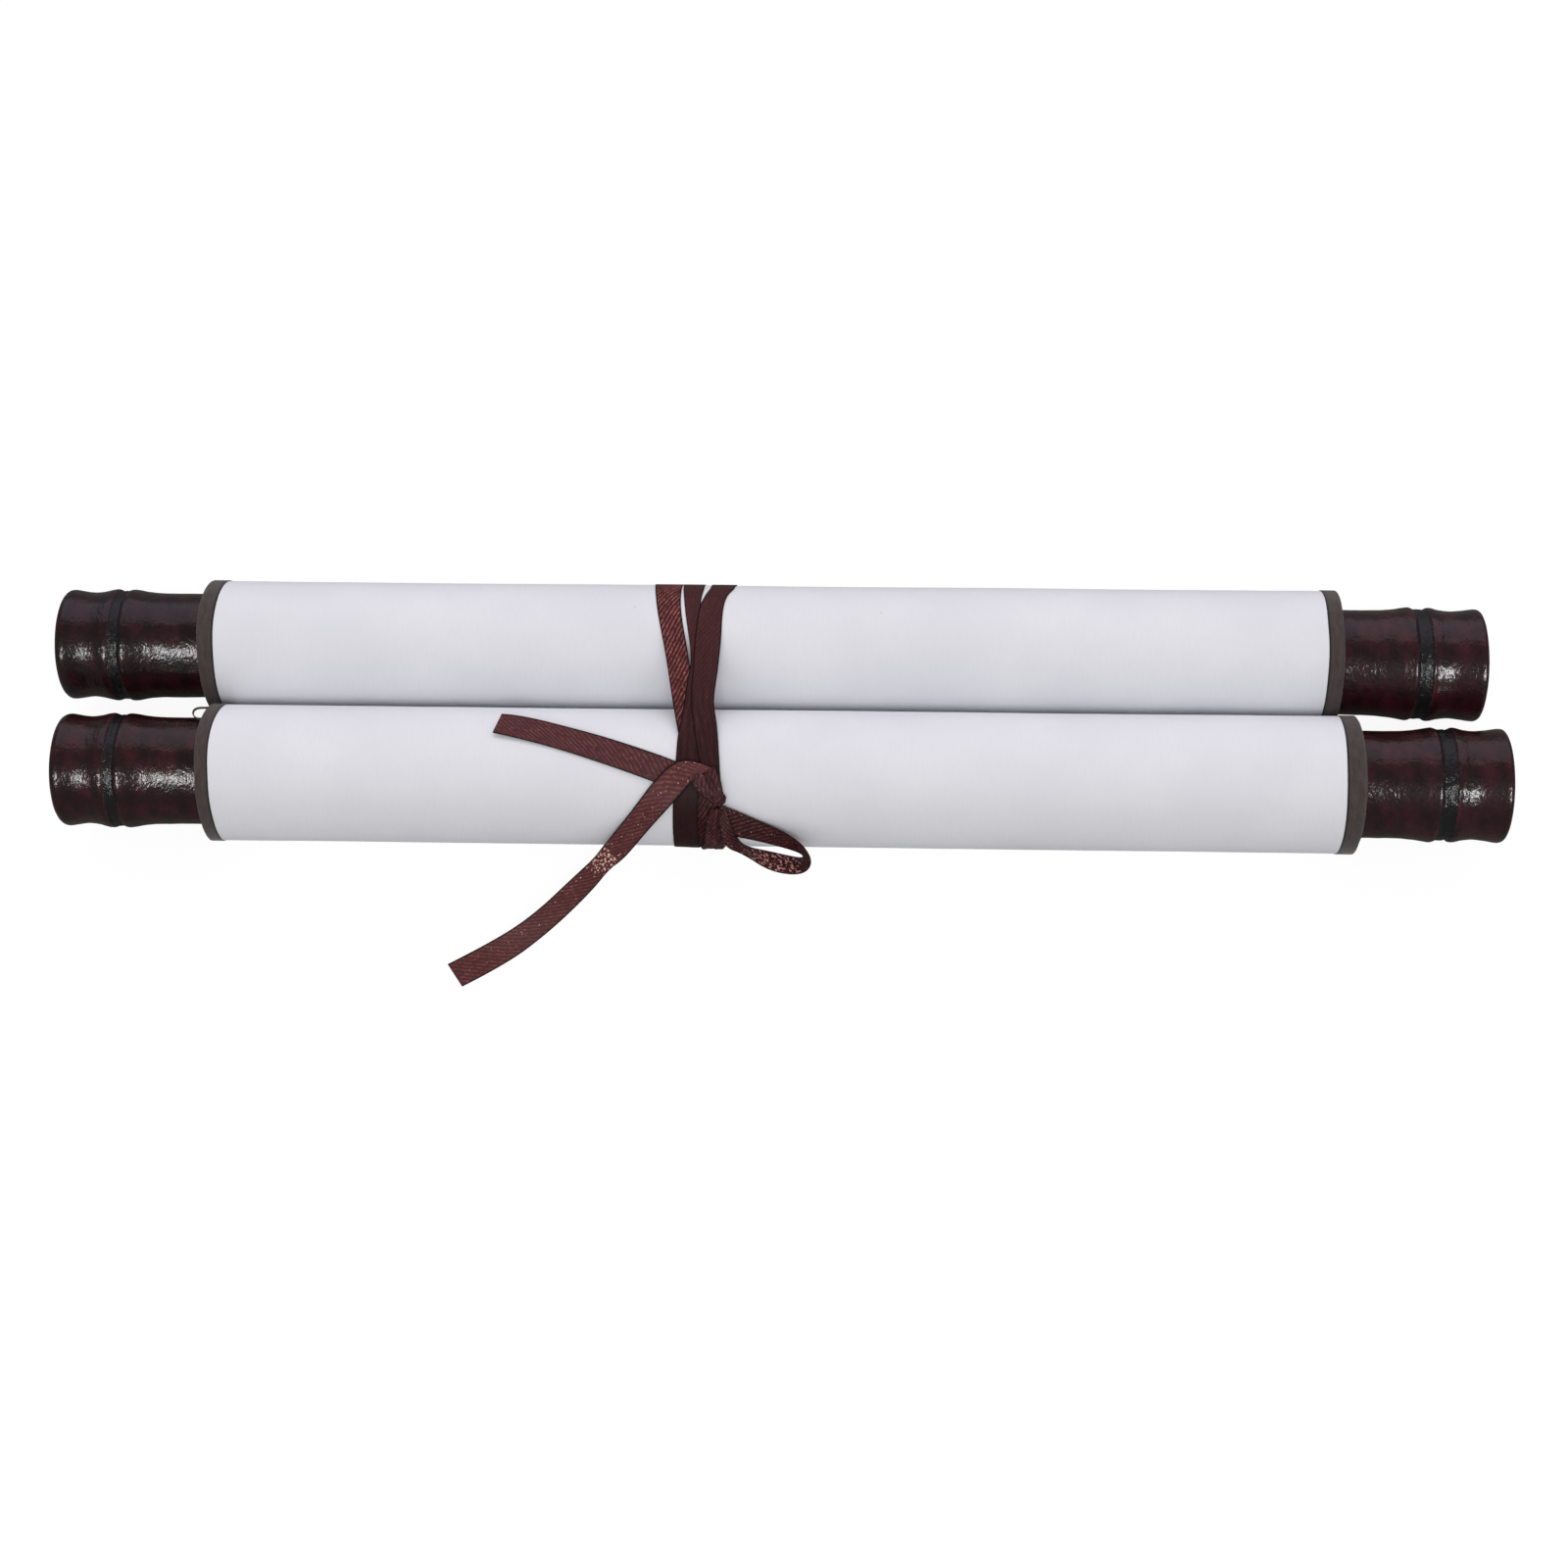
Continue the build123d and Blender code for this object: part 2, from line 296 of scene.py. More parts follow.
def lacquer_material(name, band, dark, deep, red):
    """Dark lacquer over turned wood. The black band is rough, and its edges are rubbed through to red."""
    material, tree, shader = new_material(
        name, Coat_Weight=1.0, Coat_Roughness=0.18, Specular_IOR_Level=0.12
    )
    place = uv_place(tree)
    along = add_node(tree, "ShaderNodeSeparateXYZ", {"Vector": place}).outputs[0]
    uneven = maths(tree, "SUBTRACT", noise_at(tree, place, 0.9, 5, 0.65), 0.5)
    ragged = maths(tree, "MULTIPLY_ADD", uneven, 1.8, along)
    middle, half = (band[0] + band[1]) / 2, (band[1] - band[0]) / 2
    off_middle = maths(tree, "ABSOLUTE", maths(tree, "SUBTRACT", ragged, middle))
    black = ramp(tree, maths(tree, "SUBTRACT", half + 0.5, off_middle), (0.35, 0.0), (0.65, 1.0))
    off_edge = maths(tree, "ABSOLUTE", maths(tree, "SUBTRACT", off_middle, half + 0.35))
    band_edge = ramp(tree, off_edge, (0.0, 1.0), (0.45, 0.0))
    rim = ramp(tree, maths(tree, "ABSOLUTE", ragged), (0.3, 1.0), (0.9, 0.0))
    blotch = noise_at(tree, uv_place(tree, 1.0, 0.6), 0.22, 6, 0.62)
    streaks = noise_at(tree, uv_place(tree, 1.5, 0.35), 1.2, 4, 0.6)
    patchy = ramp(tree, blotch, (0.46, 0.0), (0.6, 0.8))
    worn = maths(tree, "MULTIPLY", maths(tree, "MAXIMUM", band_edge, rim), patchy)
    colour = ramp(tree, blotch, (0.36, dark), (0.5, deep), (0.68, red))
    colour = mix(tree, ramp(tree, streaks, (0.5, 0.0), (0.8, 0.5)), colour, red)
    colour = mix(tree, worn, colour, times(1.7, red))
    colour = mix(tree, black, colour, (0.006, 0.006, 0.007))
    tree.links.new(colour, shader.inputs["Base Color"])
    tree.links.new(ramp(tree, black, (0.0, 0.4), (1.0, 0.55)), shader.inputs["Roughness"])
    tree.links.new(ramp(tree, black, (0.0, 1.0), (1.0, 0.8)), shader.inputs["Coat Weight"])
    peel = noise_at(tree, place, 0.3, 2, 0.5)
    turned = noise_at(tree, uv_place(tree, 1.0, 0.75), 1.25, 2, 0.6)
    pits = maths(tree, "MULTIPLY", noise_at(tree, place, 1.3, 3, 0.6), black)
    normal = bump(tree, maths(tree, "MULTIPLY_ADD", turned, 0.7, peel), 0.18, 1.0)
    normal = bump(tree, pits, 0.22, 0.9, normal)
    tree.links.new(normal, shader.inputs["Normal"])
    tree.links.new(normal, shader.inputs["Coat Normal"])
    return material


STAINED_END = 3


def wood_material():
    """Plain wood with long grain, stained dark beside the knobs."""
    material, tree, shader = new_material("rod_wood", Roughness=0.55)
    place = add_node(tree, "ShaderNodeTexCoord").outputs["Object"]
    stretched = add_node(tree, "ShaderNodeMapping", {"Vector": place, "Scale": (12, 220, 220)})
    grain = noise_at(tree, stretched.outputs[0], 1.0, 5, 0.6, 0.4)
    along = add_node(tree, "ShaderNodeSeparateXYZ", {"Vector": place}).outputs[0]
    stained_from = (SHEET_WIDTH / 2 - STAINED_END) * MM
    stained = maths(tree, "GREATER_THAN", maths(tree, "ABSOLUTE", along), stained_from)
    colour = ramp(tree, grain, (0.3, (0.24, 0.13, 0.06)), (0.7, (0.42, 0.26, 0.13)))
    colour = mix(tree, stained, colour, (0.030, 0.014, 0.012))
    tree.links.new(colour, shader.inputs["Base Color"])
    tree.links.new(bump(tree, grain, 0.1, 0.4), shader.inputs["Normal"])
    return material


RIBBON_WIDTH = 6.6
RIB_PITCH = 1.75
SELVEDGE_WIDTH = 0.62
# Further along than any piece of the ribbon reaches, for what a piece doesn't have
NOWHERE = 900.0
NO_PAINTED_GLINTS = (-90, -80, 0)


def ribbon_material(
    name, ground, thread, glint_colour, depth, painted_glints=NO_PAINTED_GLINTS, painted_shade_from=NOWHERE, painted_creases_from=NOWHERE
):
    """Twill satin: ribs run slantwise across the ribbon, between two thin dark selvedges.

    painted_glints is (from, to, how dense) for a stretch where glints are painted on in glint_colour. From
    painted_creases_from on, creases are painted on as a painted highlight and painted shade, and from
    painted_shade_from on the ribbon is darkened by painted shade. All are in millimetres from where the piece
    starts.
    """
    material, tree, shader = new_material(
        name, Roughness=0.5, Specular_IOR_Level=0.15, Sheen_Weight=0.06, Sheen_Roughness=0.3
    )
    place = uv_place(tree)
    uv = add_node(tree, "ShaderNodeSeparateXYZ", {"Vector": place})
    along, across = uv.outputs[0], uv.outputs[1]

    slant = maths(tree, "MULTIPLY_ADD", across, 1.5, along)
    slant = maths(tree, "ADD", slant, noise_at(tree, place, 0.7, 2))
    wave = maths(tree, "SINE", maths(tree, "MULTIPLY", slant, 2 * math.pi / RIB_PITCH))
    rib = ramp(tree, maths(tree, "MULTIPLY_ADD", wave, 0.5, 0.5), (0.3, 0.0), (0.75, 1.0))
    broken = ramp(tree, noise_at(tree, place, 0.9, 2, 0.5), (0.38, 0.25), (0.55, 1.0))
    patchy = ramp(tree, noise_at(tree, place, 0.3, 3), (0.35, 0.45), (0.6, 1.0))
    weave = maths(tree, "MULTIPLY", maths(tree, "MULTIPLY", rib, broken), patchy)
    colour = mix(tree, weave, ground, thread)

    # Painted glints: bright specks in the glint colour, densest over one stretch of the ribbon
    near, far, density = painted_glints
    off_glint_stretch = maths(tree, "ABSOLUTE", maths(tree, "SUBTRACT", along, (near + far) / 2))
    glint_dense = ramp(tree, maths(tree, "DIVIDE", off_glint_stretch, far - near), (0.25, 1.0), (0.6, 0.0))
    painted_glint = maths(tree, "MULTIPLY_ADD", glint_dense, density, noise_at(tree, place, 1.4, 1, 0.5))
    colour = mix(tree, ramp(tree, painted_glint, (0.71, 0.0), (0.76, 1.0)), colour, glint_colour)

    broad = noise_at(tree, uv_place(tree, 0.12, 1.5), 0.9, 4)
    colour = mix(tree, ramp(tree, broad, (0.35, 0.4), (0.7, 0.0)), colour, times(0.45, ground))
    # Painted creases: along the fold lines, a painted highlight in a paler thread colour and painted shade in
    # a darker ground colour
    painted_fold_lines = noise_at(tree, uv_place(tree, 0.1, 1.0), 1.1, 3, 0.6)
    painted_crease_mask = maths(tree, "MULTIPLY", maths(tree, "SUBTRACT", along, painted_creases_from), 0.06, clamp=True)
    painted_fold_highlight = maths(tree, "MULTIPLY", ramp(tree, painted_fold_lines, (0.54, 0.0), (0.68, 0.45)), painted_crease_mask)
    painted_fold_shade = maths(tree, "MULTIPLY", ramp(tree, painted_fold_lines, (0.34, 0.8), (0.46, 0.0)), painted_crease_mask)
    colour = mix(tree, painted_fold_highlight, colour, times(1.5, thread))
    colour = mix(tree, painted_fold_shade, colour, times(0.25, ground))
    # Painted shade: the ribbon grows darker along its length from where the painted shade begins
    painted_shade = maths(tree, "MULTIPLY", maths(tree, "SUBTRACT", along, painted_shade_from), 0.02, clamp=True)
    colour = mix(tree, maths(tree, "MULTIPLY", painted_shade, 0.8), colour, times(0.3, ground))

    from_selvedge = maths(
        tree, "SUBTRACT", maths(tree, "ABSOLUTE", across), RIBBON_WIDTH / 2 - SELVEDGE_WIDTH
    )
    selvedge = ramp(tree, from_selvedge, (0.2, 0.0), (0.4, 1.0))
    colour = mix(tree, selvedge, colour, (0.012, 0.005, 0.006))
    tree.links.new(colour, shader.inputs["Base Color"])
    height = maths(tree, "MULTIPLY_ADD", weave, 0.7, maths(tree, "MULTIPLY", broad, 0.3))
    tree.links.new(bump(tree, height, depth, 0.8), shader.inputs["Normal"])
    return material


PAPER = paper_material()
TAPE = tape_material()
WOOD = wood_material()
# Each ribbon: ground, thread, the colour of its painted glints, bump depth, then where painted glints,
# painted shade and painted creases lie
SATIN = ribbon_material(
    "ribbon_satin", (0.060, 0.0155, 0.0175), (0.092, 0.027, 0.028), (0.15, 0.055, 0.055), 0.03,
    painted_shade_from=72, painted_creases_from=88,
)
TWILL = ribbon_material(
    "ribbon_twill", (0.055, 0.009, 0.010), (0.36, 0.115, 0.100), (0.42, 0.21, 0.18), 0.08, painted_shade_from=150
)
TAIL_TWILL = ribbon_material(
    "ribbon_tail", (0.093, 0.022, 0.024), (0.195, 0.064, 0.059), (0.95, 0.58, 0.48), 0.06, (35, 45, 0.17)
)
SHORT_TWILL = ribbon_material(
    "ribbon_short", (0.082, 0.025, 0.027), (0.165, 0.060, 0.060), (0.30, 0.14, 0.13), 0.05
)
LOOP_TWILL = ribbon_material(
    "ribbon_loop", (0.032, 0.0060, 0.0065), (0.130, 0.035, 0.035), (0.70, 0.34, 0.31), 0.06, (26, 46, 0.17)
)
PLEAT_SATIN = ribbon_material(
    "ribbon_pleats", (0.042, 0.010, 0.0125), (0.135, 0.041, 0.044), (0.40, 0.21, 0.19), 0.06, painted_creases_from=-20
)

# The wound leaf: its thickness, the distance from turn to turn, and its gap to the rod. The outermost turn is
# loose, and its slack is taken up between two angles, counted from where the sheet leaves the flat
LEAF = 0.34
PITCH = 0.54
ROD_GAP = 0.1
OUTER_SLACK = 0.55
FULL_UNTIL = 0.9 * math.pi
SLACK_TAKEN_AT = 1.45 * math.pi
# How many turns the visible face covers, and the steps of the sheet's line: degrees inside the rolls, and a
# count between them
OUTER_FACE_TURNS = 1.06
INNER_STEP = 6.0
FLAT_STEPS = 12
# How far the front roll's turns creep sideways, and the angle over which they do
CREEP = 1.1
CREEP_UNTIL = 8 * math.pi


def roll_radius(radius, turned):
    """The radius of the leaf's outer face, that far round from where it leaves the flat."""
    radius -= OUTER_SLACK * smoothstep(FULL_UNTIL, SLACK_TAKEN_AT, turned)
    return radius - PITCH * max(0.0, turned - SLACK_TAKEN_AT) / (2 * math.pi)


def turned_at_rod(radius):
    """The angle through which the leaf has turned when it reaches the rod."""
    room = radius - OUTER_SLACK - ROD_RADIUS - LEAF - ROD_GAP
    return SLACK_TAKEN_AT + 2 * math.pi * room / PITCH


def sheet_path(outer_only, fine):
    """The line of the sheet, as (y, z, normal y, normal z, x of its middle, length so far, turned).

    It steps by fine degrees round each roll's outermost turn, and by INNER_STEP inside it.
    """
    halves = []
    for side, axis, radius in ((-1, FRONT_AXIS, FRONT_RADIUS), (1, BACK_AXIS, BACK_RADIUS)):
        end = 2 * math.pi * OUTER_FACE_TURNS if outer_only else turned_at_rod(radius)
        turned, half = 0.0, []
        while turned < end:
            angle = -math.pi / 2 + side * turned
            ny, nz = math.cos(angle), math.sin(angle)
            r = roll_radius(radius, turned)
            creep = 0.0
            if side < 0:
                creep = CREEP * min(1.0, turned / CREEP_UNTIL) + 0.12 * wander(3, turned / 2.1)
            half.append((axis.y + r * ny, axis.z + r * nz, ny, nz, axis.x + creep, turned))
            turned += math.radians(fine if turned < 2 * math.pi else INNER_STEP)
        halves.append(half)
    path = halves[0][::-1]
    for step in range(1, FLAT_STEPS):
        t = step / FLAT_STEPS
        x = FRONT_AXIS.x + t * (BACK_AXIS.x - FRONT_AXIS.x)
        y = FRONT_AXIS.y + t * (BACK_AXIS.y - FRONT_AXIS.y)
        path.append((y, SHEET_LIFT, 0.0, -1.0, x, 0.0))
    path += halves[1]
    measured, length = [], 0.0
    for index, (y, z, ny, nz, x, turned) in enumerate(path):
        if index:
            length += math.hypot(y - path[index - 1][0], z - path[index - 1][1])
        measured.append((y, z, ny, nz, x, length, turned))
    return measured


def girths(section):
    """How far round a closed section each of its corners is, and then the whole way round."""
    found = [0.0]
    for (x0, up0), (x1, up1) in zip(section, section[1:] + section[:1]):
        found.append(found[-1] + math.hypot(x1 - x0, up1 - up0))
    return found


PAPER_COLUMNS = 140
# How far in from the sheet's edge the paper ends, and the height of the leaf's own top, just under the face
PAPER_INSET = 1.3
LEAF_TOP = -0.22


def paper():
    """The visible face of the outer turns, finely divided, over the whole wound leaf."""
    outer = sheet_path(True, 2.5)
    edge = SHEET_WIDTH / 2 - PAPER_INSET
    rows = []
    for y, z, ny, nz, x, length, turned in outer:
        row = []
        for column in range(PAPER_COLUMNS + 1):
            across = -edge + 2 * edge * column / PAPER_COLUMNS
            calm = smoothstep(0, 26, edge - abs(across)) * smoothstep(0.0, 0.6, turned)
            waves = 0.10 * wander(1, across / 46, length / 60)
            waves += 0.035 * wander(2, across / 13, length / 17)
            lift = calm * (waves - 0.06)
            row.append((x + across, y + ny * lift, z + nz * lift))
        rows.append(row)
    face = (rows, lambda r, c: (-edge + 2 * edge * c / PAPER_COLUMNS, outer[r][5]), False)

    wound = sheet_path(False, INNER_STEP)
    section = [(-edge, LEAF_TOP), (edge, LEAF_TOP), (edge, -LEAF), (-edge, -LEAF)]
    girth = girths(section)
    leaf_rows = [
        [(x + dx, y + ny * up, z + nz * up) for dx, up in section] for y, z, ny, nz, x, _, _ in wound
    ]
    return [face, (leaf_rows, lambda r, c: (wound[r][5], girth[c]), True)]


# How wide the tape shows on the front and on the back roll, at the left and at the right end
TAPE_SHOWN = {-1: (3.5, 4.4), 1: (4.5, 4.1)}
LEFT_BULGE = 0.9
FOLD_STEPS = 6
CURL_HALF_THICKNESS = 0.14
CURL_DEPTH = 0.9
LOOSE_CURL = (
    (-146.6, -3.4, 29.0), (-147.6, -4.4, 30.2), (-149.9, -4.4, 30.4), (-151.4, -5.0, 30.3),
    (-151.5, -6.6, 30.2), (-149.9, -7.6, 30.1), (-148.1, -7.3, 30.0), (-147.5, -6.2, 29.9),
    (-147.9, -5.3, 29.9),
)


def tape(side):
    """The folded edge tape: it stands proud of the paper, and its outer edge is a round fold."""
    top, bottom = TAPE_LAYER - 0.03, -LEAF - 0.1
    fold = (top - bottom) / 2
    middle = (top + bottom) / 2
    front_shown, back_shown = TAPE_SHOWN[side]
    rows, lengths = [], []
    for y, z, ny, nz, x, length, turned in sheet_path(False, 3.0):
        on_back = smoothstep(FRONT_AXIS.y, BACK_AXIS.y, y)
        shown = front_shown + on_back * (back_shown - front_shown)
        shift = x + 0.14 * wander(20 + side, length / 9)
        if side < 0:
            shift += LEFT_BULGE * abs(ny) ** 1.6
        section = [(0.0, -0.05), (0.06, top - 0.06), (0.3, top)]
        section += [(t * (shown - fold), top) for t in (0.35, 0.7)]
        for step in range(FOLD_STEPS + 1):
            angle = math.pi / 2 - math.pi * step / FOLD_STEPS
            section.append((shown + fold * math.cos(angle) - fold, middle + fold * math.sin(angle)))
        section.append((0.0, bottom))
        inner = SHEET_WIDTH / 2 - shown
        rows.append(
            [(shift + side * (inner + out), y + ny * up, z + nz * up) for out, up in section[::side]]
        )
        lengths.append(length)
    girth = girths(section)
    if side > 0:
        return [(rows, lambda r, c: (lengths[r], girth[c]), True)]
    round_way = girth[len(section) - 1::-1] + [-0.4]
    return [(rows, lambda r, c: (lengths[r], round_way[c]), True), loose_curl()]


def loose_curl():
    """The hair-thin curl of tape that has come loose between the rolls, at the left end."""
    line = spline_points(LOOSE_CURL)
    low = Vector((0, 0, -CURL_DEPTH))
    rows = []
    for index, place in enumerate(line):
        along = line[min(index + 1, len(line) - 1)] - line[max(index - 1, 0)]
        half = along.cross(Vector((0, 0, 1))).normalized() * CURL_HALF_THICKNESS
        rows.append([place - half, place + half, place + half + low, place - half + low])
    return rows, lambda r, c: (0.3 * r, 1.0 + 0.3 * c), True


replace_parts(skin("sheet_paper", paper(), PAPER), "scroll_sheet")
for side, name in ((-1, "edge_tape_left"), (1, "edge_tape_right")):
    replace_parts(skin(name, tape(side), TAPE), "edge_tapes")

# The rods stay as the CAD has them, with wood on
for name in ("rod_front", "rod_back"):
    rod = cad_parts[name]
    rod.data.materials.clear()
    rod.data.materials.append(WOOD)

# Each knob's outline, as (distance from the outer end, radius)
LEFT_OUTLINE = (
    (0.0, 12.5), (0.3, 13.45), (0.8, 14.15), (1.5, 14.6), (2.5, 14.72), (4.0, 14.5), (6.2, 14.15),
    (8.0, 14.04), (10.5, 14.35), (12.7, 14.85), (13.9, 15.0), (14.6, 14.8), (15.3, 14.5), (16.1, 14.58),
    (16.9, 14.5), (17.5, 14.8), (18.3, 15.0), (19.8, 14.85), (22.3, 14.4), (25.5, 14.1), (29.0, 14.0),
    (39.0, 14.0),
)
RIGHT_OUTLINE = (
    (0.0, 13.4), (0.25, 14.25), (0.8, 14.75), (1.6, 14.9), (2.8, 14.8), (4.8, 14.5), (8.2, 14.2),
    (11.0, 14.5), (12.8, 14.92), (13.7, 15.0), (14.3, 14.85), (15.0, 14.42), (16.4, 14.5), (17.7, 14.42),
    (18.4, 14.8), (19.1, 15.0), (20.6, 14.8), (23.2, 14.4), (27.0, 14.1), (31.0, 14.0), (39.0, 14.0),
)
KNOB_STEPS = 150
KNOB_SIDES = 112
KNOB_LIMIT = 15.15
# Closer steps round the rim, and the rings of the flat end
RIM_STEPS = [0.0, 0.06, 0.16, 0.34, 0.6]
RIM_END = 0.7
END_RADII = (0.0, 0.5, 1.5, 4.0, 7.0, 10.0, 12.0)
# Takes the flat end's UV places clear of the rim's and the band's
END_UV_SHIFT = -30


def knob(name, outward, axis, outline, size, band, shift, shades, seed):
    """One lathe-turned knob, dressed by hand so that it is a little out of true.

    size is its length and a factor for its girth, band is where its black band starts and ends, and shift
    is how far it sits off its axis at its inner and at its outer end.
    """
    length, girth = size
    along = [length * (i / KNOB_STEPS) for i in range(KNOB_STEPS + 1)]
    along = RIM_STEPS + [s for s in along if s > RIM_END]
    rows = [(r, 0.0) for r in END_RADII] + [(girth * through(outline, s)[0], s) for s in along]
    end_x = axis.x + outward * (SHEET_WIDTH / 2 + length)
    made = []
    for r, s in rows:
        in_band = smoothstep(band[0] - 0.5, band[0] + 0.4, s)
        in_band *= 1 - smoothstep(band[1] - 0.4, band[1] + 0.5, s)
        swing = shift[0] + (shift[1] - shift[0]) * (1 - s / length)
        points = []
        for index in range(KNOB_SIDES):
            angle = 2 * math.pi * index / KNOB_SIDES
            c, d = math.cos(angle), math.sin(angle)
            rough = 0.12 * wander(seed, s / 9, 1.6 * c, 1.6 * d)
            rough += 0.05 * wander(seed + 1, s / 2.2, 5 * c, 5 * d)
            rough += in_band * 0.22 * wander(seed + 2, s / 1.1, 11 * c, 11 * d)
            worn = min(r + (rough - 0.05 if r > END_RADII[-1] else 0.0), KNOB_LIMIT)
            points.append((end_x - outward * s, axis.y + worn * c * outward + swing, axis.z + worn * d))
        made.append(points)
    last = len(END_RADII) - 1

    def end_places(r, c):
        angle = 2 * math.pi * c / KNOB_SIDES
        return END_RADII[r] * math.cos(angle) + END_UV_SHIFT, END_RADII[r] * math.sin(angle)

    def round_places(r, c):
        return rows[last + r][1] if r else -1.0, 2 * math.pi * ROD_RADIUS * c / KNOB_SIDES

    grids = [(made[:last + 1], end_places, True), (made[last:], round_places, True)]
    return skin(name, grids, lacquer_material(name, band, *shades))


DARK_SHADES = (0.007, 0.0022, 0.003), (0.014, 0.0035, 0.005), (0.034, 0.0045, 0.008)
WARM_SHADES = (0.009, 0.0020, 0.0028), (0.019, 0.0033, 0.005), (0.044, 0.0045, 0.008)
RED_SHADES = (0.010, 0.0026, 0.0035), (0.022, 0.0042, 0.0070), (0.046, 0.0054, 0.0106)
KNOBS = (
    (
        "knobs_front", "knob_front_left", -1, FRONT_AXIS, LEFT_OUTLINE, (KNOB_LENGTH, 1.01),
        (14.6, 17.5), (0, 0), WARM_SHADES, 31,
    ),
    (
        "knobs_front", "knob_front_right", 1, FRONT_AXIS, RIGHT_OUTLINE, (KNOB_LENGTH, 1.0),
        (14.4, 18.4), (0, 0), RED_SHADES, 37,
    ),
    (
        "knobs_back", "knob_back_left", -1, BACK_AXIS, LEFT_OUTLINE, (KNOB_LENGTH, 1.0),
        (14.6, 17.5), (0.4, 0.4), DARK_SHADES, 43,
    ),
    (
        "knobs_back", "knob_back_right", 1, BACK_AXIS, RIGHT_OUTLINE, (KNOB_LENGTH - 1, 1.0),
        (14.4, 18.2), (-1.15, -1.7), RED_SHADES, 47,
    ),
)
for node, *about in KNOBS:
    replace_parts(knob(*about), node)

# The ribbon, and the tight line round both rolls that its turns follow
RIBBON_THICKNESS = 0.15
RIBBON_COLUMNS = 14
RIBBON_STEP = 0.8
TOP_RUN = math.hypot(FRONT_AXIS.y - BACK_AXIS.y, FRONT_RADIUS - BACK_RADIUS)
FRONT_ARC = math.pi * FRONT_RADIUS
BACK_ARC = math.pi * BACK_RADIUS
ONE_TURN = 2 * TOP_RUN + FRONT_ARC + BACK_ARC
UNDER_FRONT = TOP_RUN + FRONT_ARC
UNDER_MIDDLE = UNDER_FRONT + TOP_RUN / 2
UNDER_BACK = UNDER_FRONT + TOP_RUN


def round_rolls(s):
    """A place on the tight line round both rolls, s from the top of the back roll towards the front.

    Gives y, z and the outward normal.
    """
    s %= ONE_TURN
    if s < TOP_RUN:
        t = s / TOP_RUN
        y = BACK_AXIS.y + t * (FRONT_AXIS.y - BACK_AXIS.y)
        z = BACK_AXIS.z + BACK_RADIUS + t * (FRONT_AXIS.z + FRONT_RADIUS - BACK_AXIS.z - BACK_RADIUS)
        return y, z, 0.0, 1.0
    s -= TOP_RUN
    if s < FRONT_ARC:
        angle = math.pi / 2 + s / FRONT_RADIUS
        c, d = math.cos(angle), math.sin(angle)
        return FRONT_AXIS.y + FRONT_RADIUS * c, FRONT_AXIS.z + FRONT_RADIUS * d, c, d
    s -= FRONT_ARC
    if s < TOP_RUN:
        return FRONT_AXIS.y + s / TOP_RUN * (BACK_AXIS.y - FRONT_AXIS.y), SHEET_LIFT, 0.0, -1.0
    s -= TOP_RUN
    angle = -math.pi / 2 + s / BACK_RADIUS
    c, d = math.cos(angle), math.sin(angle)
    return BACK_AXIS.y + BACK_RADIUS * c, BACK_AXIS.z + BACK_RADIUS * d, c, d


def over(y):
    """How far along that line the upper side of the rolls is at y."""
    if y > BACK_AXIS.y:
        return -BACK_RADIUS * math.asin(min(1.0, (y - BACK_AXIS.y) / BACK_RADIUS))
    if y > FRONT_AXIS.y:
        return BACK_AXIS.y - y
    return TOP_RUN + FRONT_RADIUS * math.asin(min(1.0, (FRONT_AXIS.y - y) / FRONT_RADIUS))


BACKMOST = ONE_TURN + over(BACK_AXIS.y + BACK_RADIUS)


def ribbon_grid(steps, crumple):
    """A thin ribbon from steps of (left point, right point, normal); crumple lifts it off its line."""
    rows, lengths, length = [], [], 0.0
    for index, (left, right, normal) in enumerate(steps):
        middle = (left + right) / 2
        if index:
            length += (middle - before).length
        before = middle
        lengths.append(length)
        top, bottom = [], []
        for column in range(RIBBON_COLUMNS + 1):
            t = column / RIBBON_COLUMNS
            place = left.lerp(right, t) + normal * crumple(length, t)
            top.append(place + normal * RIBBON_THICKNESS / 2)
            bottom.append(place - normal * RIBBON_THICKNESS / 2)
        rows.append(top + bottom[::-1])
    wide = RIBBON_COLUMNS + 1

    def places(r, c):
        column = c if c < wide else 2 * wide - 1 - c
        return lengths[r], RIBBON_WIDTH * (column / RIBBON_COLUMNS - 0.5)

    return rows, places, True


def ribbon_piece(name, grid, material):
    """One of the pieces that together stand for the CAD's ribbon."""
    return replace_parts(skin(name, [grid], material), "ribbon")


def creases(seed, start, end, size, narrow=2.2, fade=NOWHERE):
    """Long creases that grow from start to end along the ribbon, and are gone again at fade."""

    def lift(length, t):
        grown = smoothstep(start, end, length) * (1 - smoothstep(fade - 6, fade, length))
        return size * grown * wander(seed, length / 9, t * RIBBON_WIDTH / narrow)

    return lift


def gathers(seed, size, narrow):
    """Pleats drawn together along the ribbon, with finer crumples over them."""

    def lift(length, t):
        pleat = wander(seed, length / 7, t * RIBBON_WIDTH / narrow)
        return size * (pleat + 0.3 * wander(seed, length / 2, t * 9))

    return lift


def wound_turn(name, stations, material, crumple):
    """A stretch of ribbon on the rolls, from stations of (s, left x, right x, left lift, right lift)."""
    steps = []
    s = stations[0][0]
    while s <= stations[-1][0]:
        left_x, right_x, left_lift, right_lift = through(stations, s)
        y, z, ny, nz = round_rolls(s)
        left = Vector((left_x, y + ny * left_lift, z + nz * left_lift))
        right = Vector((right_x, y + ny * right_lift, z + nz * right_lift))
        steps.append((left, right, Vector((0, ny, nz))))
        s += RIBBON_STEP
    ribbon_piece(name, ribbon_grid(steps, crumple), material)


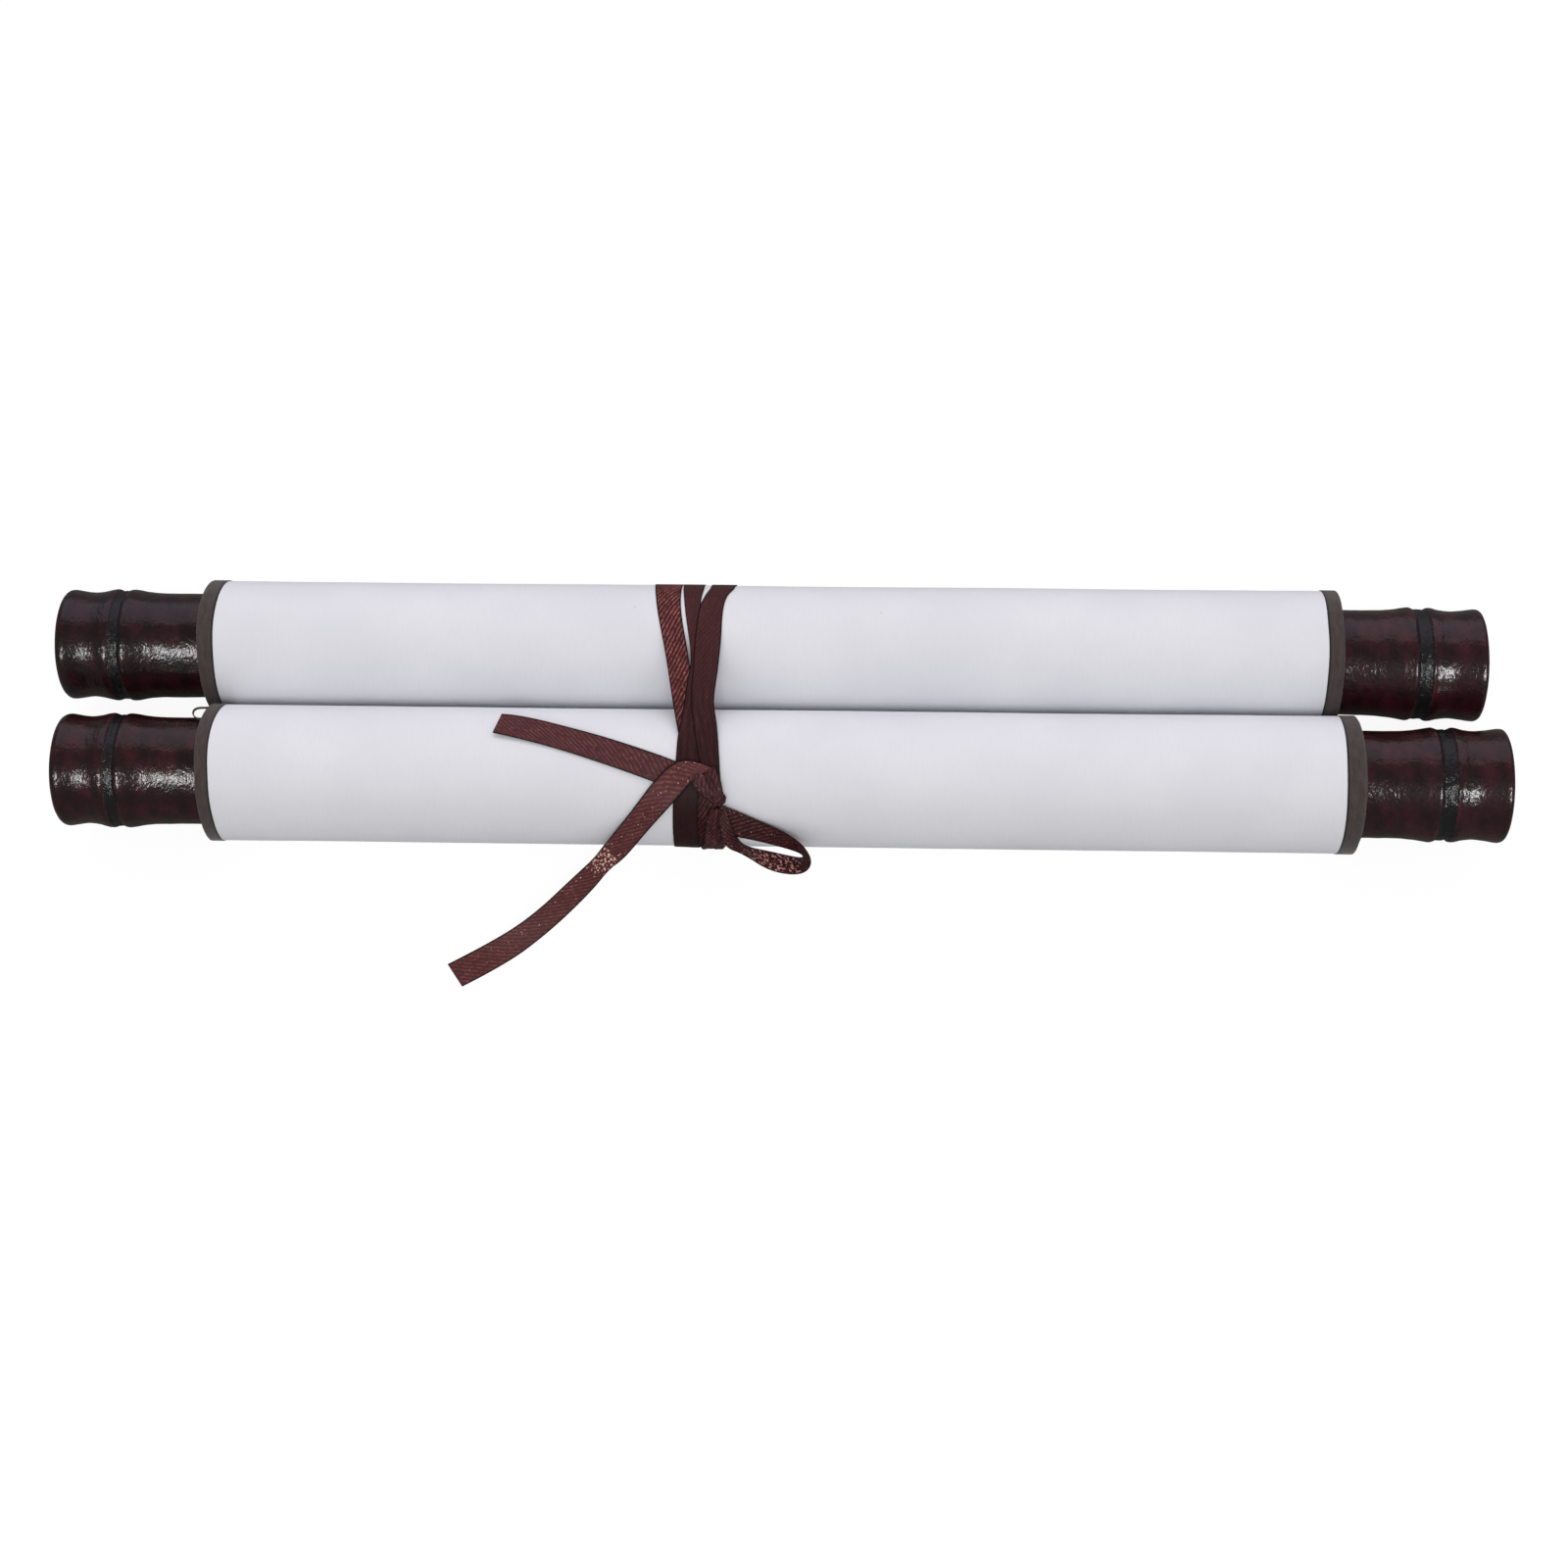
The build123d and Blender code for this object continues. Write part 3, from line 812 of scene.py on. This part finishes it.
def edge_steps(edges):
    """Steps of a ribbon through space, from the control points of its left and its right edge."""
    left = spline_points([pair[0] for pair in edges])
    right = spline_points([pair[1] for pair in edges])
    middle = [(a + b) / 2 for a, b in zip(left, right)]
    steps = []
    for index, (a, b) in enumerate(zip(left, right)):
        along = middle[min(index + 1, len(middle) - 1)] - middle[max(index - 1, 0)]
        steps.append((a, b, (a - b).cross(along).normalized()))
    return steps, middle


def free_ribbon(name, edges, material, crumple):
    """A free end or loop of the ribbon."""
    steps, middle = edge_steps(edges)
    piece = ribbon_piece(name, ribbon_grid(steps, crumple), material)
    [value * MM for value in middle[0]]
    [[value * MM for value in place] for place in middle]


# Each turn as (place along the line, left x, right x, left lift, right lift). The first turn starts at the
# knot, and each turn's end under the rolls is the start of the next
FIRST_TURN = (
    (over(-30.0), -16.2, -11.8, 0.12, 0.12),
    (over(-35.4), -18.0, -12.4, 0.10, 0.10),
    (UNDER_FRONT - 8, -19.0, -12.6, 0.09, 0.09),
    (UNDER_FRONT, -20.0, -13.6, 0.08, 0.08),
    (UNDER_BACK, -29.5, -23.1, 0.08, 0.08),
    (BACKMOST, -32.0, -24.5, 0.10, 0.10),
    (ONE_TURN + over(32.9), -31.8, -24.5, 0.12, 0.12),
    (ONE_TURN + over(23.2), -30.5, -24.2, 0.12, 0.12),
    (ONE_TURN + over(9.9), -27.8, -21.9, 0.12, 0.12),
    (ONE_TURN + over(-5.7), -25.0, -18.9, 0.12, 0.12),
    (ONE_TURN + over(-13.4), -23.4, -17.2, 0.12, 0.12),
    (ONE_TURN + over(-25.0), -20.4, -14.0, 0.25, 0.30),
    (ONE_TURN + over(-35.0), -19.0, -12.2, 0.30, 0.40),
    (ONE_TURN + UNDER_FRONT - 8, -19.2, -12.4, 0.16, 0.16),
    (ONE_TURN + UNDER_MIDDLE, -21.8, -15.4, 0.15, 0.15),
)
SECOND_TURN = (
    (UNDER_MIDDLE, -21.8, -15.4, 0.15, 0.15),
    (UNDER_BACK, -24.0, -18.0, 0.14, 0.14),
    (BACKMOST, -24.3, -18.6, 0.10, 0.10),
    (ONE_TURN + over(31.1), -24.1, -18.6, 0.14, 0.14),
    (ONE_TURN + over(22.6), -23.1, -18.9, 0.14, 0.14),
    (ONE_TURN + over(8.3), -21.1, -15.2, 0.30, 0.20),
    (ONE_TURN + over(0.5), -21.9, -15.9, 0.34, 0.30),
    (ONE_TURN + over(-6.5), -22.6, -16.6, 0.36, 0.36),
    (ONE_TURN + over(-13.9), -23.6, -17.4, 0.34, 0.40),
    (ONE_TURN + over(-20.0), -23.9, -17.6, 0.30, 0.45),
    (ONE_TURN + over(-30.4), -24.6, -18.2, 0.22, 0.50),
    (ONE_TURN + over(-35.4), -24.9, -18.4, 0.20, 0.50),
    (ONE_TURN + UNDER_FRONT - 8, -25.0, -18.6, 0.15, 0.25),
    (ONE_TURN + UNDER_MIDDLE, -21.5, -15.1, 0.08, 0.08),
)
THIRD_TURN = (
    (UNDER_MIDDLE, -21.5, -15.1, 0.08, 0.08),
    (UNDER_BACK, -17.6, -11.2, 0.08, 0.08),
    (BACKMOST, -16.8, -10.3, 0.10, 0.10),
    (ONE_TURN + over(31.3), -16.9, -10.6, 0.14, 0.14),
    (ONE_TURN + over(27.3), -18.2, -12.3, 0.16, 0.14),
    (ONE_TURN + over(22.6), -19.4, -13.1, 0.34, 0.14),
    (ONE_TURN + over(13.1), -20.2, -13.4, 0.40, 0.16),
    (ONE_TURN + over(5.3), -20.4, -13.9, 0.50, 0.26),
    (ONE_TURN + over(-3.9), -20.6, -14.6, 0.60, 0.40),
    (ONE_TURN + over(-10.8), -19.6, -13.6, 0.66, 0.55),
    (ONE_TURN + over(-18.0), -18.4, -12.9, 0.75, 0.70),
    (ONE_TURN + over(-24.0), -16.6, -12.4, 0.95, 0.9),
    (ONE_TURN + over(-28.6), -14.6, -12.0, 1.4, 1.4),
)
# Gathered ribbon below the knot, on down the front roll and under it
PLEATS_BELOW = (
    (over(-30.8), -14.8, -11.3, 1.5, 1.5),
    (over(-33.6), -16.4, -10.6, 1.2, 1.2),
    (over(-36.0), -17.4, -10.9, 0.9, 0.9),
    (TOP_RUN + 0.5 * FRONT_ARC, -17.8, -11.8, 0.8, 0.8),
    (TOP_RUN + 0.62 * FRONT_ARC, -17.8, -12.3, 0.6, 0.6),
    (TOP_RUN + 0.72 * FRONT_ARC, -17.8, -12.6, 0.4, 0.4),
)
# The other stretches, as control points of (left edge, right edge). The first runs from the root of the
# tails to the knot, and the others from the knot outwards
PLEATS_ABOVE = (
    ((-20.6, -25.2, 37.0), (-13.6, -22.2, 38.0)),
    ((-18.6, -28.4, 35.8), (-12.2, -25.4, 37.2)),
    ((-15.8, -30.2, 34.9), (-11.6, -28.4, 35.9)),
    ((-13.0, -31.6, 33.9), (-11.3, -30.4, 34.6)),
)
LONG_TAIL = (
    ((-14.9, -22.7, 38.0), (-15.1, -23.2, 37.9)),
    ((-19.4, -20.5, 38.3), (-19.5, -25.6, 36.9)),
    ((-24.7, -21.2, 38.0), (-22.5, -29.2, 35.2)),
    ((-30.0, -26.6, 36.0), (-25.4, -31.9, 33.2)),
    ((-36.2, -33.2, 29.9), (-31.2, -35.9, 26.7)),
    ((-42.6, -38.7, 23.4), (-37.6, -41.4, 19.9)),
    ((-45.4, -41.6, 20.6), (-41.6, -43.2, 17.0)),
    ((-50.5, -44.6, 15.9), (-46.3, -47.9, 12.8)),
    ((-62.2, -52.8, 6.8), (-57.8, -56.4, 4.2)),
    ((-73.4, -58.9, 2.2), (-69.4, -64.7, 0.9)),
    ((-84.8, -64.6, 0.5), (-80.6, -70.6, 0.3)),
)
SHORT_TAIL = (
    ((-22.6, -21.5, 37.2), (-24.9, -27.6, 34.9)),
    ((-24.1, -20.5, 37.1), (-30.1, -25.6, 35.5)),
    ((-39.7, -15.0, 37.0), (-41.2, -21.9, 36.6)),
    ((-52.2, -11.4, 36.8), (-51.9, -18.4, 36.9)),
    ((-64.9, -8.1, 36.5), (-62.7, -15.3, 37.0)),
    ((-69.4, -7.9, 36.5), (-71.4, -13.4, 37.0)),
)
LOOP = (
    ((-12.2, -31.2, 33.5), (-13.0, -35.8, 28.6)),
    ((-8.4, -32.0, 31.6), (-9.4, -37.2, 26.6)),
    ((-3.0, -33.6, 29.2), (-3.2, -37.6, 24.6)),
    ((4.0, -36.0, 27.4), (4.0, -38.5, 21.9)),
    ((9.2, -39.4, 26.5), (8.2, -39.3, 20.0)),
    ((11.6, -43.6, 24.4), (8.9, -39.8, 18.3)),
    ((8.6, -46.0, 21.6), (7.0, -39.8, 18.3)),
    ((0.5, -44.9, 21.2), (0.4, -38.9, 20.0)),
    ((-6.5, -41.3, 24.7), (-6.6, -37.7, 20.4)),
    ((-10.6, -40.2, 25.4), (-8.6, -36.8, 26.8)),
    ((-12.0, -38.6, 28.2), (-9.8, -34.6, 30.2)),
    ((-12.6, -34.4, 31.6), (-11.1, -31.1, 33.2)),
)

wound_turn("ribbon_first_turn", FIRST_TURN, TWILL, creases(61, 168, 184, 0.16, fade=222))
wound_turn("ribbon_second_turn", SECOND_TURN, SATIN, creases(62, 100, 125, 0.07, 3.0, 158))
wound_turn("ribbon_third_turn", THIRD_TURN, SATIN, creases(63, 92, 112, 0.42, 1.3))
ribbon_piece(
    "ribbon_pleats_above", ribbon_grid(edge_steps(PLEATS_ABOVE)[0], gathers(19, 0.8, 1.1)), PLEAT_SATIN
)
wound_turn("ribbon_pleats_below", PLEATS_BELOW, PLEAT_SATIN, creases(67, -1, 0, 0.55, 1.4, 26))
free_ribbon(
    "ribbon_long_tail", LONG_TAIL, TAIL_TWILL, creases(64, 0, 1, 0.10, 3.5)
)
free_ribbon(
    "ribbon_short_tail", SHORT_TAIL, SHORT_TWILL, creases(65, 0, 1, 0.08, 3.5)
)
free_ribbon("ribbon_loop", LOOP, LOOP_TWILL, creases(66, 0, 1, 0.06, 3.0))

KNOT_MIDDLE = Vector((-12.6, -29.6, 34.0))
KNOT_ALONG = Vector((0.62, -0.35, -0.5)).normalized()
KNOT_LENGTH = 3.8
KNOT_RADIUS = 1.55
KNOT_FLATNESS = 0.85
KNOT_STEPS = 48
KNOT_SIDES = 72


def knot():
    """The knot: crumpled folds of ribbon wrapped tightly round the root of the loop."""
    aside = KNOT_ALONG.cross(Vector((0, 0, 1))).normalized()
    upward = aside.cross(KNOT_ALONG)
    rows = []
    for i in range(KNOT_STEPS + 1):
        t = i / KNOT_STEPS
        swell = math.sin(math.pi * min(0.98, max(0.02, t))) ** 0.5
        middle = KNOT_MIDDLE + KNOT_ALONG * (KNOT_LENGTH * (t - 0.5))
        row = []
        for j in range(KNOT_SIDES):
            angle = 2 * math.pi * j / KNOT_SIDES
            c, d = math.cos(angle), math.sin(angle)
            wrap = math.sin(2 * math.pi * (2.6 * t + 0.35 * d))
            lumps = 0.75 * wander(71, 3.4 * t, 1.6 * c, 1.6 * d)
            lumps += 0.35 * wander(72, 9 * t, 4 * c, 4 * d)
            radius = swell * (KNOT_RADIUS + 0.18 * wrap + lumps)
            row.append(middle + (aside * c + upward * d * KNOT_FLATNESS) * radius)
        rows.append(row)
    grid = (rows, lambda r, c: (c * 0.14, 4.0 * (r / KNOT_STEPS - 0.5)), True)
    ribbon_piece("ribbon_knot", grid, PLEAT_SATIN)


knot()

CAMERA_TARGET = Vector((3.3, -19.1, 17.3))
CAMERA_AZIMUTH = math.radians(5.0)
CAMERA_ELEVATION = math.radians(69.03)
CAMERA_ROLL = math.radians(-4.014)
CAMERA_DISTANCE = 705.0
CAMERA_LENS = 61.64

toward = Vector(
    (
        math.sin(CAMERA_AZIMUTH) * math.cos(CAMERA_ELEVATION),
        -math.cos(CAMERA_AZIMUTH) * math.cos(CAMERA_ELEVATION),
        math.sin(CAMERA_ELEVATION),
    )
)
level = (-toward).cross(Vector((0, 0, 1))).normalized()
upright = level.cross(-toward)
rightward = level * math.cos(CAMERA_ROLL) + upright * math.sin(CAMERA_ROLL)
upward = upright * math.cos(CAMERA_ROLL) - level * math.sin(CAMERA_ROLL)
camera = bpy.data.objects.new("camera", bpy.data.cameras.new("camera"))
camera.data.lens = CAMERA_LENS
camera.data.sensor_width = 36.0
camera.data.clip_start = 0.01
bpy.context.scene.collection.objects.link(camera)
turn = Matrix((rightward, upward, toward)).transposed().to_4x4()
camera.matrix_world = Matrix.Translation((CAMERA_TARGET + toward * CAMERA_DISTANCE) * MM) @ turn
bpy.context.scene.camera = camera

# In metres: the floor lies just clear of the object
FLOOR_HALF = 2.5
FLOOR_Z = -0.00002


def seen_strength(tree, by_camera, as_light, mirrored):
    """A strength for what the camera sees, another for the light given off, and one for reflections."""
    path = add_node(tree, "ShaderNodeLightPath").outputs
    reflected = maths(tree, "MAXIMUM", path["Is Glossy Ray"], path["Is Transmission Ray"])
    other = maths(tree, "MULTIPLY_ADD", reflected, mirrored - as_light, as_light)
    return maths(tree, "MULTIPLY_ADD", path["Is Camera Ray"], by_camera - as_light, other)


def floor():
    """A floor that is plain white to the camera, apart from the object's shadow."""
    mesh = bpy.data.meshes.new("floor")
    corners = [
        (x * FLOOR_HALF, y * FLOOR_HALF, FLOOR_Z) for x, y in ((-1, -1), (1, -1), (1, 1), (-1, 1))
    ]
    mesh.from_pydata(corners, [], [(0, 1, 2, 3)])
    material, tree, shader = new_material("floor_white", Roughness=0.9, Specular_IOR_Level=0.0)
    shader.inputs["Base Color"].default_value = (0.10, 0.10, 0.10, 1)
    shader.inputs["Emission Color"].default_value = (1, 1, 1, 1)
    strength = seen_strength(tree, by_camera=0.93, as_light=0.38, mirrored=0.02)
    tree.links.new(strength, shader.inputs["Emission Strength"])
    mesh.materials.append(material)
    made = bpy.data.objects.new("floor", mesh)
    bpy.context.scene.collection.objects.link(made)


def softbox(name, place, aim, size, power, colour=(1, 1, 1), lights=True, mirrored=True):
    """A rectangular studio lamp, in metres and watts, turned towards aim."""
    lamp = bpy.data.lights.new(name, "AREA")
    lamp.shape = "RECTANGLE"
    lamp.size, lamp.size_y = size
    lamp.energy = power
    lamp.color = colour
    made = bpy.data.objects.new(name, lamp)
    bpy.context.scene.collection.objects.link(made)
    away = (Vector(aim) - Vector(place)).normalized()
    turn = away.to_track_quat("-Z", "Y").to_matrix().to_4x4()
    made.matrix_world = Matrix.Translation(place) @ turn
    made.visible_diffuse = lights
    made.visible_glossy = mirrored


floor()
# The keys only mirror in the lacquer, the fills only light the surfaces, and the wall does both
softbox("key_left", (-0.65, -0.97, 1.17), (-0.10, 0, 0.02), (0.34, 0.48), 10.0, lights=False)
softbox("key_right", (1.02, -0.97, 1.17), (0.10, 0, 0.02), (0.34, 0.48), 13.0, lights=False)
softbox("front_fill", (0.05, -0.85, 1.30), (0, 0, 0.02), (0.7, 0.45), 7.6, mirrored=False)
softbox("back_fill", (0.0, 1.3, 1.2), (0, 0, 0.02), (1.8, 0.8), 7.5, mirrored=False)
softbox("back_wall", (0.0, 1.5, 1.05), (0, 0, 0.02), (3.2, 2.0), 10.0, (0.95, 0.85, 1.0))

world = bpy.data.worlds.new("studio")
bpy.context.scene.world = world
world.use_nodes = True
background = world.node_tree.nodes["Background"]
background.inputs["Color"].default_value = (1, 1, 1, 1)
strength = seen_strength(world.node_tree, by_camera=1.0, as_light=0.55, mirrored=0.12)
world.node_tree.links.new(strength, background.inputs["Strength"])
bpy.context.scene.view_settings.view_transform = "Standard"
